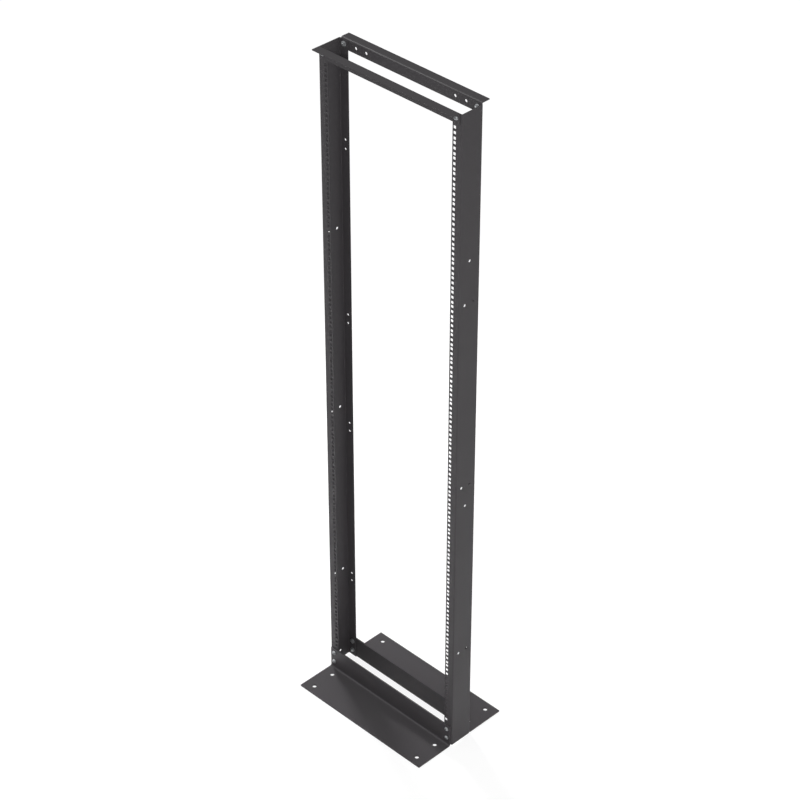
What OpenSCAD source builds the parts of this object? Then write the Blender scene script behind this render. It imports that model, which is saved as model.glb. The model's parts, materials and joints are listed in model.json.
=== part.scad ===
// Two post open frame rack with the 19 inch hole pattern.
// Two folded steel channels stand with their webs outwards and their flanges
// turned in. A pair of plate angles carries them on the floor, and a pair of
// light angles ties their heads. Everything is bolted face to face.
// X runs across the rack, Y from front to rear, Z up. The origin is on the
// floor, in the middle of the rack. Sizes are in millimetres.

/* [Rack] */
// Number of rack units between the base and the head
units = 45; // [8:1:52]
// Height of one rack unit
unit_pitch = 44.45; // [43:0.05:50]
// Clear width between the flanges of the two posts
opening = 451.1; // [440:0.1:600]
// Floor to the lower edge of the first unit
foot = 86.7; // [84:0.1:140]
// Upper edge of the last unit to the top of the rack
head = 41.6; // [40:0.1:90]

/* [Posts] */
// Depth of a post from front face to rear face
post_depth = 76.2; // [60:0.1:160]
// Width of a flange from its free edge to the outer face of the web
flange = 32.2; // [28:0.1:60]
// Sheet thickness of a post
post_t = 2; // [1.5:0.1:4]
// Inner bend radius of a post
post_bend = 1.5; // [0.5:0.1:4]
// Top of the rack down to the upper cut end of a post
post_drop = 3.9; // [0.5:0.1:6]
// Floor to the lower cut end of a post
post_lift = 5.3; // [0:0.1:10]

/* [Equipment holes] */
// Side of a square equipment hole
square_hole = 9.5; // [7:0.1:10]
// Spacing of the three holes inside one unit
hole_step = 15.875; // [14:0.005:16]
// Free edge of the flange to the middle of the hole column
column_inset = 7; // [6.2:0.05:10]

/* [Base angles] */
// Post face to the outer edge of the foot plate
base_reach = 134; // [125:0.1:300]
// Height of the upright leg
base_leg = 76.5; // [70:0.1:82]
// Plate thickness of a base angle
base_t = 4.5; // [3:0.1:6]
// Inner bend radius of a base angle
base_bend = 5.5; // [1:0.1:6]
// Outer face of a post's web in to the end of the base angle
base_setback = 4.3; // [0:0.1:8]

/* [Top angles] */
// Post face to the outer edge of the flat leg
top_reach = 28.5; // [24:0.1:80]
// Height of the upright leg
top_leg = 32.5; // [29:0.05:38]
// Sheet thickness of a top angle
top_t = 3; // [2:0.1:5]
// Inner bend radius of a top angle
top_bend = 1.5; // [0.5:0.1:3]
// Outer face of a post's web in to the end of the top angle
top_setback = 5.3; // [0:0.1:8]

/* [Frame bolt holes] */
// Free edge of the flange to the line of bolts and small holes
bolt_inset = 14.3; // [12:0.1:17]
// Diameter of the holes for the bolts that hold the frame together
bolt_hole = 9; // [7:0.1:11]
// Floor to the lower base bolt
base_bolt_z = 27; // [22:0.1:30]
// Spacing of the two base bolts, one above the other
base_bolt_pitch = 34; // [24:0.1:34]
// Top of the rack down to the head bolts and the ladder holes
head_bolt_drop = 17; // [15:0.1:21]

/* [Floor anchor holes] */
// Diameter of a floor anchor hole
anchor_hole = 13; // [9:0.1:18]
// Spacing of the inner and the outer anchor hole
anchor_pitch = 75; // [40:0.5:78]
// Outer anchor hole to the outer edge of the foot plate
anchor_edge = 25.7; // [15:0.1:28]
// Anchor holes to the end of the base angle
anchor_end = 34; // [20:0.1:60]

/* [Cable ladder holes] */
// Diameter of a cable ladder hole in a top angle
ladder_hole = 9.5; // [6:0.1:12]
// Head bolt to the nearer ladder hole
ladder_offset = 41.9; // [30:0.1:70]
// Spacing of the two ladder holes
ladder_pitch = 38.1; // [20:0.1:60]

/* [Accessory holes] */
// Diameter of a small hole in a rear flange
small_hole = 7; // [3:0.1:9]
// Spacing of the two small holes of a pair, one above the other
small_pitch = 28.4; // [15:0.1:40]
// Half the height of the rack to the inner pairs of small holes
small_near = 187.5; // [100:0.5:240]
// Half the height of the rack to the outer pairs of small holes
small_far = 747.5; // [400:0.5:800]
// Diameter of a hole in a web
web_hole = 8.4; // [4:0.1:10]
// Spacing of the two web holes of a pair, front to rear
web_pair = 31.75; // [20:0.05:40]
// Floor to the lowest pair of web holes
web_first = 351; // [200:0.5:400]
// Spacing of the pairs of web holes up the post
web_step = 600; // [300:0.5:650]
// Floor to the lower single web hole of the right post
single_first = 882; // [500:0.5:900]
// Spacing of the single web holes of the right post
single_step = 800; // [400:0.5:900]
// Floor to the earthing hole in the web of the left post
earth_z = 35.5; // [20:0.5:60]

/* [Hidden] */
$fn = 48;

paint = [0.27, 0.27, 0.28];
height = foot + units * unit_pitch + head;
// Upper cut end of a post
post_top = height - post_drop;
// Front and rear faces of the posts lie this far from the middle
face_y = post_depth / 2;
// Outer faces of the webs, hole columns and frame bolts, from the middle
web_x = opening / 2 + flange;
column_x = opening / 2 + column_inset;
bolt_x = opening / 2 + bolt_inset;
// A cutting tool reaches this far past the sheet it goes through
through = 1;

// Quarter ring between two sheets that meet at a fold. Its centre is the
// bend's axis and the fold's outer corner points to -X and -Y.
module fold(bend, t) {
    outer = bend + t;
    intersection() {
        difference() {
            circle(r = outer);
            circle(r = bend);
        }
        translate([-outer, -outer]) square(outer);
    }
}

// Folded angle with its heel at the origin, one leg along X and one along Y
module angle_profile(x_leg, y_leg, bend, t) {
    outer = bend + t;
    translate([outer, 0]) square([x_leg - outer, t]);
    translate([0, outer]) square([t, y_leg - outer]);
    translate([outer, outer]) fold(bend, t);
}

// Folded channel with its web on the Y axis and its flanges along +X
module channel_profile() {
    outer = post_bend + post_t;
    translate([0, outer - face_y]) square([post_t, post_depth - 2 * outer]);
    for (side = [0, 1]) mirror([0, side]) {
        translate([outer, -face_y]) square([flange - outer, post_t]);
        translate([outer, outer - face_y]) fold(post_bend, post_t);
    }
}

// Round tool along Y, from y1 to y2
module bore_y(x, z, d, y1, y2) {
    translate([x, y1, z]) rotate([-90, 0, 0]) cylinder(d = d, h = y2 - y1);
}

// Round tool through the web of the left post
module bore_web(y, z, d) {
    translate([-web_x - through, y, z]) rotate([0, 90, 0])
        cylinder(d = d, h = post_t + 2 * through);
}

// Three square holes in each unit, all the way up the front flange
module equipment_holes() {
    for (unit = [0 : units - 1], step = [-1, 0, 1])
        translate([-column_x - square_hole / 2, -face_y - through,
                   foot + (unit + 0.5) * unit_pitch + step * hole_step - square_hole / 2])
            cube([square_hole, post_t + 2 * through, square_hole]);
}

// Bolt holes at foot and head, straight through both flanges
module frame_bolt_holes() {
    for (z = [base_bolt_z, base_bolt_z + base_bolt_pitch, height - head_bolt_drop])
        bore_y(-bolt_x, z, bolt_hole, -face_y - through, face_y + through);
}

// Pairs of small holes in the rear flange, the same above and below the middle
module rear_flange_holes() {
    for (side = [-1, 1], offset = [small_near, small_far], half = [-0.5, 0.5])
        bore_y(-bolt_x, height / 2 + side * offset + half * small_pitch, small_hole,
               face_y - post_t - through, face_y + through);
}

// Pairs of holes up the web
module web_pair_holes() {
    for (z = [web_first : web_step : post_top - web_hole], side = [-0.5, 0.5])
        bore_web(side * web_pair, z, web_hole);
}

// A post as it stands on the left. The heights are of its single web holes.
module upright(single_heights) {
    difference() {
        translate([-web_x, 0, post_lift]) linear_extrude(height = post_top - post_lift)
            channel_profile();
        equipment_holes();
        frame_bolt_holes();
        rear_flange_holes();
        web_pair_holes();
        for (z = single_heights) bore_web(0, z, web_hole);
    }
}

module left_upright() {
    color(paint) upright([earth_z]);
}

module right_upright() {
    color(paint) mirror([1, 0, 0])
        upright([for (z = [single_first : single_step : post_top - web_hole]) z]);
}

// Sweeps a profile along X: its x runs to the rear and its y upwards
module along_x(length) {
    translate([-length / 2, 0, 0]) rotate([90, 0, 90]) linear_extrude(height = length)
        children();
}

// Rear base angle: foot plate to the rear, upright leg bolted on the posts
module base_angle() {
    length = 2 * (web_x - base_setback);
    outer_y = face_y + base_reach;
    difference() {
        translate([0, face_y, 0]) along_x(length)
            angle_profile(base_reach, base_leg, base_bend, base_t);
        for (side = [-1, 1]) {
            for (z = [base_bolt_z, base_bolt_z + base_bolt_pitch])
                bore_y(side * bolt_x, z, bolt_hole, face_y - through,
                       face_y + base_t + through);
            for (y = [outer_y - anchor_edge, outer_y - anchor_edge - anchor_pitch])
                translate([side * (length / 2 - anchor_end), y, -through])
                    cylinder(d = anchor_hole, h = base_t + 2 * through);
        }
    }
}

module rear_base_angle() {
    color(paint) base_angle();
}

module front_base_angle() {
    color(paint) mirror([0, 1, 0]) base_angle();
}

// Rear top angle: flat leg level with the top, upright leg hanging down
module top_angle() {
    length = 2 * (web_x - top_setback);
    difference() {
        translate([0, face_y, height]) mirror([0, 0, 1]) along_x(length)
            angle_profile(top_reach, top_leg, top_bend, top_t);
        for (side = [-1, 1]) {
            bore_y(side * bolt_x, height - head_bolt_drop, bolt_hole,
                   face_y - through, face_y + top_t + through);
            for (inward = [ladder_offset, ladder_offset + ladder_pitch])
                bore_y(side * (bolt_x - inward), height - head_bolt_drop, ladder_hole,
                       face_y - through, face_y + top_t + through);
        }
    }
}

module rear_top_angle() {
    color(paint) top_angle();
}

module front_top_angle() {
    color(paint) mirror([0, 1, 0]) top_angle();
}

left_upright();
right_upright();
front_base_angle();
rear_base_angle();
front_top_angle();
rear_top_angle();
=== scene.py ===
# %% [markdown]
# # A two post open frame rack
# The rack is folded steel: two channels stand on two plate angles, and two light
# angles tie their heads. All six come from the CAD frame at their real size.
# This lesson gives them their finish, adds the bolts that hold them together,
# and sets up the studio. Lengths are in metres, as everywhere in Blender.

# %% Load the frame
import json
import math

import bpy
from mathutils import Matrix, Vector


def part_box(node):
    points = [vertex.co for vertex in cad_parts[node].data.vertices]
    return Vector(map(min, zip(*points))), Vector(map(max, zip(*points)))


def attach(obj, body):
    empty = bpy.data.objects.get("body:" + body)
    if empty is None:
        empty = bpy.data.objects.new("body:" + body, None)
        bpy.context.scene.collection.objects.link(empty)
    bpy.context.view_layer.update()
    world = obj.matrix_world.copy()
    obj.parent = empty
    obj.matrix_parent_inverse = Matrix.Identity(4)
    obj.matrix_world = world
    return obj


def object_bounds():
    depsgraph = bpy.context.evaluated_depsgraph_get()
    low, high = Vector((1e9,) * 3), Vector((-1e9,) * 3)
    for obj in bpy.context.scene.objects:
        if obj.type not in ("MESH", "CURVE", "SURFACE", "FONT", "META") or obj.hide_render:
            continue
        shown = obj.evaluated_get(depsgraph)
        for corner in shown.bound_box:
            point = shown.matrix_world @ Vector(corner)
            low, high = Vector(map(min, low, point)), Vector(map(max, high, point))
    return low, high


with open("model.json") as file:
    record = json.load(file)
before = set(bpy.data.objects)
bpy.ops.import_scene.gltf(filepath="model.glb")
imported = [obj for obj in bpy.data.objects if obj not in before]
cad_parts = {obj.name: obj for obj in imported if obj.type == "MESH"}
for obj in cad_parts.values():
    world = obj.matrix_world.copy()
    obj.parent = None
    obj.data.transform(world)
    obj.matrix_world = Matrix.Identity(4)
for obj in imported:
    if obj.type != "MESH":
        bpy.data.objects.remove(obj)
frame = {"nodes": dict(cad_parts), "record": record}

mm = 0.001
cad_low, cad_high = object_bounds()
cad_size = cad_high - cad_low
print("nodes:", ", ".join(sorted(frame["nodes"])))
print("rack, millimetres:", [round(side / mm, 1) for side in cad_size])

# %% [markdown]
# ## Where things are
# The frame knows where each sheet lies and where its holes are, so the places of
# the bolts are worked out from the boxes of the CAD nodes and from the record's
# mounts. Two things are given here: the heights of the two base bolts, because a
# plain bolt hole is no mount, and how thick the sheets of the angles are.

# %% Places of the bolt holes
mounts = {mount["name"]: mount for mount in frame["record"]["mounts"]}
post_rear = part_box("left_upright")[1].y
bolt_x = abs(mounts["rear_pair_left_a"]["pos_m"][0])
head_bolt_z = mounts["ladder_holes_rear_left"]["pos_m"][2]
base_bolt_z = (27 * mm, 61 * mm)
post_sheet = mounts["earthing_hole"]["dims"]["length_mm"] * mm
base_sheet = 4.5 * mm
top_sheet = 3 * mm
print("bolt holes at X", round(bolt_x / mm, 2), "head bolts at Z", round(head_bolt_z / mm, 2))

# %% [markdown]
# ## Tools for the bench
# An operator works on everything that is selected, and the loaded nodes arrive
# selected. So each piece starts with an empty selection. Turned shapes, such as
# a shank or the dome of a screw, all grow the same way: a disc is extruded step
# by step along Z, and each new end is scaled to the next radius.

# %% Selection and turning
def start_clean():
    """Leaves edit mode and deselects everything."""
    if bpy.context.mode != "OBJECT":
        bpy.ops.object.mode_set(mode="OBJECT")
    bpy.ops.object.select_all(action="DESELECT")


def work_on(piece):
    """Makes one piece the only selected and active object."""
    start_clean()
    piece.select_set(True)
    bpy.context.view_layer.objects.active = piece


turned_sides = 48


def turned(name, first_radius, steps):
    """A turned body about Z: a disc at height 0, then (rise, radius) steps upwards."""
    start_clean()
    bpy.ops.mesh.primitive_circle_add(
        vertices=turned_sides, radius=first_radius, fill_type="NGON")
    piece = bpy.context.object
    piece.name = name
    bpy.ops.object.mode_set(mode="EDIT")
    bpy.ops.mesh.select_mode(type="FACE")
    bpy.ops.mesh.select_all(action="SELECT")
    radius = first_radius
    for rise, next_radius in steps:
        bpy.ops.mesh.extrude_region_move(TRANSFORM_OT_translate={"value": (0, 0, rise)})
        scale = next_radius / radius
        bpy.ops.transform.resize(value=(scale, scale, 1))
        radius = next_radius
    bpy.ops.mesh.select_all(action="SELECT")
    bpy.ops.mesh.normals_make_consistent(inside=False)
    bpy.ops.object.mode_set(mode="OBJECT")
    return piece


def combine(piece, tool, operation):
    """Joins, cuts or intersects piece with tool, which is used up."""
    work_on(piece)
    modifier = piece.modifiers.new(operation.lower(), "BOOLEAN")
    modifier.operation = operation
    modifier.object = tool
    modifier.solver = "EXACT"
    bpy.ops.object.modifier_apply(modifier=modifier.name)
    bpy.data.objects.remove(tool)

# %% [markdown]
# ## The screw
# The frame is held by M8 button head screws, 12 mm long, with a thin collar that
# spares the paint. The head stands on the floor plane of its own little world and
# the shank grows downwards from it. The dome is a few short steps inwards along
# an ellipse. The thread is made of rings, one to each pitch: at this size nobody
# can tell a ring from a helix, and rings keep the mesh closed and light. Each
# step has to rise, so a ledge square to the axis rises by a hair.

# %% Model one screw
thread_radius = 4 * mm
thread_root = 3.4 * mm
thread_pitch = 1.25 * mm
screw_length = 12 * mm
tip = 1 * mm
collar_radius = 7.2 * mm
collar = 0.8 * mm
bevel = 0.25 * mm
ledge = 0.01 * mm
head_radius = 6.2 * mm
head_height = 4.2 * mm
head_top = 3.4 * mm
dome_rings = 7
socket_flats = 5 * mm
socket_depth = 2.6 * mm


def thread_steps(length):
    """Extrusion steps of a ringed thread of that length."""
    turns = int(length / thread_pitch)
    flat = thread_pitch * 0.15
    flank = thread_pitch * 0.35
    tooth = [(flat, thread_radius), (flank, thread_root),
             (flat, thread_root), (flank, thread_radius)]
    return tooth * turns + [(length - turns * thread_pitch, thread_radius)]


def dome_steps():
    """Steps of a quarter ellipse from the collar in to the head's flat top."""
    heights, radii = [collar], [head_radius]
    for ring in range(1, dome_rings + 1):
        angle = math.pi / 2 * ring / dome_rings
        heights.append(collar + (head_height - collar) * math.sin(angle))
        radii.append(head_top + (head_radius - head_top) * math.cos(angle))
    return [(high - low, radius) for low, high, radius in zip(heights, heights[1:], radii[1:])]


shank_steps = [(tip, thread_radius)] + thread_steps(screw_length - tip)
collar_steps = [(ledge, collar_radius), (collar - bevel, collar_radius),
                (bevel, collar_radius - bevel), (ledge, head_radius)]
screw = turned("screw", thread_root, shank_steps + collar_steps + dome_steps())
screw.location.z = -screw_length
work_on(screw)
bpy.ops.object.transform_apply(location=True, rotation=False, scale=False)
start_clean()
bpy.ops.mesh.primitive_cylinder_add(
    vertices=6, radius=socket_flats / math.sqrt(3), depth=socket_depth * 2,
    location=(0, 0, head_height))
combine(screw, bpy.context.object, "DIFFERENCE")
print("screw:", len(screw.data.polygons), "faces")

# %% [markdown]
# ## The flange nut
# A flange nut is low and has its washer on it. The hexagon is the bar that the
# nut is cut from, and its corners end in small arcs where the bar was turned to
# a cone. The overlap of a six sided bar and a turned blank has exactly those
# arcs. The flange is turned too, and joined to it, and the drill goes through
# both and leaves a small countersink at each mouth.

# %% Model one nut
across_flats = 13 * mm
corner_radius = across_flats / math.sqrt(3)
nut_height = 4.6 * mm
flange_radius = 7.9 * mm
flange_edge = 0.9 * mm
flange_bevel = 0.3 * mm
flange_slope = 0.5 * mm
thread_play = 0.05 * mm
countersink = 0.45 * mm
run_out = 1 * mm
nut_bore = thread_radius + thread_play
nut_mouth = nut_bore + countersink
blank_spare = 0.4 * mm
blank_radius = corner_radius + blank_spare
cone_radius = across_flats / 2 * 0.95
cone_slope = math.radians(30)
cone_rise = (blank_radius - cone_radius) * math.tan(cone_slope)
blank = turned("blank", blank_radius, [(nut_height - cone_rise, blank_radius),
                                       (cone_rise, cone_radius)])
start_clean()
bpy.ops.mesh.primitive_cylinder_add(
    vertices=6, radius=corner_radius, depth=nut_height, location=(0, 0, nut_height / 2))
nut = bpy.context.object
nut.name = "nut"
bpy.ops.object.transform_apply(location=True, rotation=True, scale=True)
combine(nut, blank, "INTERSECT")
flange = turned("flange", flange_radius, [
    (flange_edge, flange_radius), (flange_bevel, flange_radius - flange_bevel),
    (flange_slope, across_flats / 2)])
combine(nut, flange, "UNION")
drill = turned("drill", nut_mouth + run_out, [
    (run_out, nut_mouth), (countersink, nut_bore), (nut_height - 2 * countersink, nut_bore),
    (countersink, nut_mouth), (run_out, nut_mouth + run_out)])
drill.location.z = -run_out
work_on(drill)
bpy.ops.object.transform_apply(location=True, rotation=False, scale=False)
combine(nut, drill, "DIFFERENCE")
print("nut:", len(nut.data.polygons), "faces")

# %% [markdown]
# ## Edges that catch the light
# Shading by angle keeps the flats of the hexagon flat and blends the dome and
# the other turned faces, and it costs no polygons.

# %% Shade the masters
sharp_above = math.radians(32)
for master in (screw, nut):
    work_on(master)
    bpy.ops.object.shade_smooth_by_angle(angle=sharp_above)
print("edges stay sharp above", round(math.degrees(sharp_above)), "degrees")

# %% [markdown]
# ## Twelve bolted joints
# At each corner of the rack two screws hold the base and one holds the head.
# The screw goes in from outside, and its nut sits inside the channel. A fitter
# never stops at the same angle twice, so each one is turned a little
# differently.

# %% Copy the fasteners into their holes
def fit(master, name, x, z, outward, depth, clock):
    """A copy of a master on a hole's axis. Depth is from the middle plane of the rack."""
    piece = master.copy()
    piece.data = master.data.copy()
    piece.name = name
    piece.data.name = name
    bpy.context.scene.collection.objects.link(piece)
    facing = Matrix.Rotation(-outward * math.pi / 2, 4, "X")
    spot = Matrix.Translation((x, depth, z))
    piece.matrix_world = spot @ facing @ Matrix.Rotation(clock, 4, "Z")
    work_on(piece)
    bpy.ops.object.transform_apply(location=True, rotation=True, scale=True)
    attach(piece, "root")
    return piece


def bolted_joint(name, x, z, outward, angle_sheet, clock):
    """Screw on the angle's outer face, flange nut on the inner face of the post's flange."""
    outer_face = outward * (post_rear + angle_sheet)
    inner_face = outward * (post_rear - post_sheet)
    return [fit(screw, name + "_screw", x, z, outward, outer_face, clock),
            fit(nut, name + "_nut", x, z, -outward, inner_face, clock * 2)]


clock_degrees = 17
fasteners = []
for end, outward in (("front", -1), ("rear", 1)):
    for hand, side in (("left", -1), ("right", 1)):
        corner = end + "_" + hand
        places = [("base_low_" + corner, base_bolt_z[0], base_sheet),
                  ("base_high_" + corner, base_bolt_z[1], base_sheet),
                  ("head_" + corner, head_bolt_z, top_sheet)]
        for name, z, sheet in places:
            clock = math.radians(clock_degrees * len(fasteners))
            fasteners += bolted_joint(name, side * bolt_x, z, outward, sheet, clock)
for master in (screw, nut):
    bpy.data.objects.remove(master)
print("fasteners:", len(fasteners))

# %% [markdown]
# ## One grain for every finish
# Powder coat and zinc plate are both uneven at two sizes: broad clouds, where
# the layer is a little thicker, and a fine grain. The group makes both from
# noise and hands out a height for the bump and a mask for colour and gloss.
# Each material gives it its own sizes.

# %% Surface grain group
def new_group(name, inputs, outputs):
    """An empty shader node group with float sockets and its two end nodes."""
    group = bpy.data.node_groups.new(name, "ShaderNodeTree")
    for in_out, sockets in (("INPUT", inputs), ("OUTPUT", outputs)):
        for socket in sockets:
            group.interface.new_socket(socket, in_out=in_out, socket_type="NodeSocketFloat")
    return group, group.nodes.new("NodeGroupInput"), group.nodes.new("NodeGroupOutput")


grain, grain_in, grain_out = new_group(
    "Surface grain", ["Cloud scale", "Grain scale", "Grain share"], ["Height", "Clouds"])
grit_per_grain = 2.7
place = grain.nodes.new("ShaderNodeTexCoord")
clouds = grain.nodes.new("ShaderNodeTexNoise")
clouds.inputs["Detail"].default_value = 3
peel = grain.nodes.new("ShaderNodeTexNoise")
peel.inputs["Detail"].default_value = 2
grit = grain.nodes.new("ShaderNodeTexVoronoi")
grit_scale = grain.nodes.new("ShaderNodeMath")
grit_scale.operation = "MULTIPLY"
grit_scale.inputs[1].default_value = grit_per_grain
blend = grain.nodes.new("ShaderNodeMix")
blend.data_type = "FLOAT"
link = grain.links.new
for texture in (clouds, peel, grit):
    link(place.outputs["Object"], texture.inputs["Vector"])
link(grain_in.outputs["Cloud scale"], clouds.inputs["Scale"])
link(grain_in.outputs["Grain scale"], peel.inputs["Scale"])
link(grain_in.outputs["Grain scale"], grit_scale.inputs[0])
link(grit_scale.outputs[0], grit.inputs["Scale"])
link(grain_in.outputs["Grain share"], blend.inputs["Factor"])
link(peel.outputs["Fac"], blend.inputs["A"])
link(grit.outputs["Distance"], blend.inputs["B"])
link(blend.outputs["Result"], grain_out.inputs["Height"])
link(clouds.outputs["Fac"], grain_out.inputs["Clouds"])
print("groups:", [group.name for group in bpy.data.node_groups])

# %% [markdown]
# ## Charcoal powder coat
# Sheet steel racks are dusted with powder and baked. The film is nearly black,
# half matt, and has a fine orange peel of about a millimetre. The Principled
# shader carries one even layer: the clouds shift its colour and gloss by a few
# parts in a hundred, and the peel goes into the bump.

# %% Powder coat material
def new_material(name):
    """A material with a Principled shader, and its nodes and link function."""
    material = bpy.data.materials.new(name)
    material.use_nodes = True
    return material, material.node_tree.nodes, material.node_tree.links.new


def add_grain(nodes, cloud_scale, grain_scale, grain_share):
    """Places the grain group in a material with its own sizes."""
    node = nodes.new("ShaderNodeGroup")
    node.node_tree = grain
    node.inputs["Cloud scale"].default_value = cloud_scale
    node.inputs["Grain scale"].default_value = grain_scale
    node.inputs["Grain share"].default_value = grain_share
    return node


noise_low, noise_high = 0.3, 0.7


def ramp_between(nodes, low, high):
    """Maps a noise mask, which seldom leaves its middle range, onto low to high."""
    node = nodes.new("ShaderNodeMapRange")
    node.inputs["From Min"].default_value = noise_low
    node.inputs["From Max"].default_value = noise_high
    node.inputs["To Min"].default_value = low
    node.inputs["To Max"].default_value = high
    return node


powder, nodes, link = new_material("powder_coat")
shader = nodes["Principled BSDF"]
shader.inputs["Specular IOR Level"].default_value = 0.3
coat_grain = add_grain(nodes, cloud_scale=7, grain_scale=850, grain_share=0.35)
coat_tint = nodes.new("ShaderNodeMix")
coat_tint.data_type = "RGBA"
coat_tint.inputs["A"].default_value = (0.0531, 0.0490, 0.0529, 1)
coat_tint.inputs["B"].default_value = (0.0613, 0.0568, 0.0610, 1)
coat_gloss = ramp_between(nodes, low=0.50, high=0.58)
coat_bump = nodes.new("ShaderNodeBump")
coat_bump.inputs["Strength"].default_value = 0.25
coat_bump.inputs["Distance"].default_value = 0.08 * mm
link(coat_grain.outputs["Clouds"], coat_tint.inputs["Factor"])
link(coat_tint.outputs["Result"], shader.inputs["Base Color"])
link(coat_grain.outputs["Clouds"], coat_gloss.inputs["Value"])
link(coat_gloss.outputs["Result"], shader.inputs["Roughness"])
link(coat_grain.outputs["Height"], coat_bump.inputs["Height"])
link(coat_bump.outputs["Normal"], shader.inputs["Normal"])
print("material:", powder.name, "with", len(nodes), "nodes")

# %% [markdown]
# ## The coat goes on
# A CAD node keeps its shape and its place. All that it gets here is the material
# in each of its slots.

# %% Coat the six folded sheets
for node in frame["nodes"].values():
    if not node.material_slots:
        node.data.materials.append(powder)
    for slot in node.material_slots:
        slot.material = powder
print("coated:", len(frame["nodes"]), "nodes")

# %% [markdown]
# ## Zinc plated steel
# The screws and nuts are plated with zinc. Zinc is a metal, so it is all
# reflection: its colour tints what it mirrors. Plating has a fine crystal grain,
# which the same group makes here at a finer size, mostly from its cells.

# %% Zinc material
zinc, nodes, link = new_material("zinc")
shader = nodes["Principled BSDF"]
shader.inputs["Metallic"].default_value = 1
zinc_grain = add_grain(nodes, cloud_scale=60, grain_scale=1600, grain_share=0.7)
zinc_tint = nodes.new("ShaderNodeMix")
zinc_tint.data_type = "RGBA"
zinc_tint.inputs["A"].default_value = (0.34, 0.35, 0.36, 1)
zinc_tint.inputs["B"].default_value = (0.45, 0.46, 0.47, 1)
zinc_gloss = ramp_between(nodes, low=0.46, high=0.58)
zinc_bump = nodes.new("ShaderNodeBump")
zinc_bump.inputs["Strength"].default_value = 0.15
zinc_bump.inputs["Distance"].default_value = 0.03 * mm
link(zinc_grain.outputs["Clouds"], zinc_tint.inputs["Factor"])
link(zinc_tint.outputs["Result"], shader.inputs["Base Color"])
link(zinc_grain.outputs["Clouds"], zinc_gloss.inputs["Value"])
link(zinc_gloss.outputs["Result"], shader.inputs["Roughness"])
link(zinc_grain.outputs["Height"], zinc_bump.inputs["Height"])
link(zinc_bump.outputs["Normal"], shader.inputs["Normal"])
for piece in fasteners:
    piece.data.materials.clear()
    piece.data.materials.append(zinc)
print("material:", zinc.name, "on", len(fasteners), "fasteners")

# %% [markdown]
# ## Studio floor
# The floor is a wide white disc that throws light back up at the rack. Lamps
# that are right for the rack leave it grey. So for the camera most of its
# brightness is glow, and only the rest is lit. The shadow stays, but it is
# faint, as on a light table. The lamps fade with the distance, so the glow grows
# between one and two metres from the rack, and the backdrop is an even white.
# The half matt coat mirrors the floor too, and for that it glows a little.

# %% Floor
floor_radius = 40
start_clean()
bpy.ops.mesh.primitive_circle_add(vertices=96, radius=floor_radius, fill_type="NGON")
floor = bpy.context.object
floor.name = "studio_floor"


def by_ray(nodes, link, ray, other, value):
    """'value' for rays of that kind, 'other' for the rest. Each may be a socket."""
    path = nodes.new("ShaderNodeLightPath")
    level = nodes.new("ShaderNodeMix")
    level.data_type = "FLOAT"
    for name, source in (("A", other), ("B", value)):
        if isinstance(source, (int, float)):
            level.inputs[name].default_value = source
        else:
            link(source, level.inputs[name])
    link(path.outputs[ray], level.inputs["Factor"])
    return level.outputs["Result"]


lit_white, seen_white = 0.8, 0.2
mirrored_level = 0.22
glow_settings = {"From Min": 1, "From Max": 2, "To Min": 0.85, "To Max": 0.94}
floor_paint, nodes, link = new_material("studio_floor")
shader = nodes["Principled BSDF"]
shader.inputs["Roughness"].default_value = 0.9
shader.inputs["Specular IOR Level"].default_value = 0
shader.inputs["Emission Color"].default_value = (1, 1, 1, 1)
floor_place = nodes.new("ShaderNodeTexCoord")
distance = nodes.new("ShaderNodeVectorMath")
distance.operation = "LENGTH"
glow = nodes.new("ShaderNodeMapRange")
for socket, value in glow_settings.items():
    glow.inputs[socket].default_value = value
link(floor_place.outputs["Object"], distance.inputs[0])
link(distance.outputs["Value"], glow.inputs["Value"])
mirrored_glow = by_ray(nodes, link, "Is Glossy Ray", 0, mirrored_level)
seen_glow = by_ray(nodes, link, "Is Camera Ray", mirrored_glow, glow.outputs["Result"])
link(seen_glow, shader.inputs["Emission Strength"])
link(by_ray(nodes, link, "Is Camera Ray", lit_white, seen_white), shader.inputs["Base Color"])
floor.data.materials.append(floor_paint)
print("floor:", floor_radius, "metres in radius")

# %% [markdown]
# ## World
# The sky is white to the eye. What it sheds on the rack is a dim even grey, so
# that the lamps draw the shapes.

# %% Sky
sky_level, seen_sky = 0.36, 1
world = bpy.data.worlds.new("studio")
bpy.context.scene.world = world
world.use_nodes = True
background = world.node_tree.nodes["Background"]
background.inputs["Color"].default_value = (1, 1, 1, 1)
link = world.node_tree.links.new
sky = by_ray(world.node_tree.nodes, link, "Is Camera Ray", sky_level, seen_sky)
link(sky, background.inputs["Strength"])
print("sky sheds", sky_level)

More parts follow.
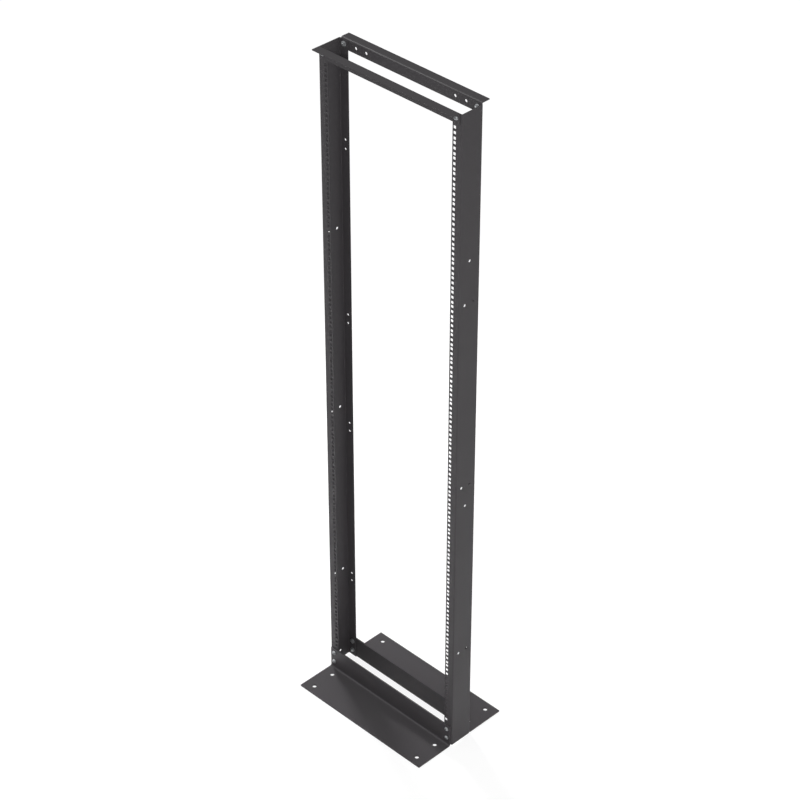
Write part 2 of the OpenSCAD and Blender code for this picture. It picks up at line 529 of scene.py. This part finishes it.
# %% [markdown]
# ## Lamps
# The key stands low and near behind the rack on its left, and throws the shadow
# of the post over the foot plate. Level steel would mirror the lamps behind and
# above it into the camera, so these two are kept out of reflections. A front
# light near the camera, one at the front left and a low one on the right fill
# the sides that show. The last lamp draws the thin bright lines on the folds:
# it is seen in reflections only.

# %% Softboxes
middle = (cad_low + cad_high) / 2


def direction(azimuth, elevation):
    """Unit vector from the rack, azimuth from the front (-Y) towards the right (+X)."""
    a = math.radians(azimuth)
    e = math.radians(elevation)
    return Vector((math.sin(a) * math.cos(e), -math.cos(a) * math.cos(e), math.sin(e)))


def softbox(name, azimuth, elevation, distance, width, watts, mirrored=True):
    """A square area lamp that looks at the middle of the rack. Angles are in degrees."""
    away = direction(azimuth, elevation)
    data = bpy.data.lights.new(name, "AREA")
    data.size = width
    data.energy = watts
    lamp = bpy.data.objects.new(name, data)
    lamp.location = middle + away * distance
    lamp.rotation_euler = away.to_track_quat("Z", "Y").to_euler()
    lamp.visible_glossy = mirrored
    bpy.context.scene.collection.objects.link(lamp)
    return lamp


softbox("key_rear_left", -111.6, 13.9, 2.04, 0.35, 60, mirrored=False)
softbox("overhead", 0, 88, 5, 2, 24, mirrored=False)
softbox("front_light", 45, 35, 6, 1, 130)
softbox("front_left", -50, 30, 5, 2, 18)
softbox("low_right", 105.6, -14.3, 2.68, 0.7, 4)
fold_line = softbox("fold_line", -80, 52, 5, 1, 160)
fold_line.visible_diffuse = False
print("lamps:", len(bpy.data.lights))

# %% [markdown]
# ## Camera
# The camera looks down on the rack from its front right corner, far off and
# with a long lens, so that the posts stay nearly parallel.

# %% Camera
camera_distance = 6.9124
camera_target = Vector((0, 0.0027, 1.1101))
towards_camera = direction(45.01, 35.49)
camera_data = bpy.data.cameras.new("camera")
camera_data.lens = 112.15
camera_data.sensor_width = 36
camera_data.clip_end = 100
camera = bpy.data.objects.new("camera", camera_data)
camera.location = camera_target + towards_camera * camera_distance
camera.rotation_euler = towards_camera.to_track_quat("Z", "Y").to_euler()
bpy.context.scene.collection.objects.link(camera)
bpy.context.scene.camera = camera
bpy.context.scene.view_settings.view_transform = "Standard"
print("camera at", [round(value, 2) for value in camera.location])
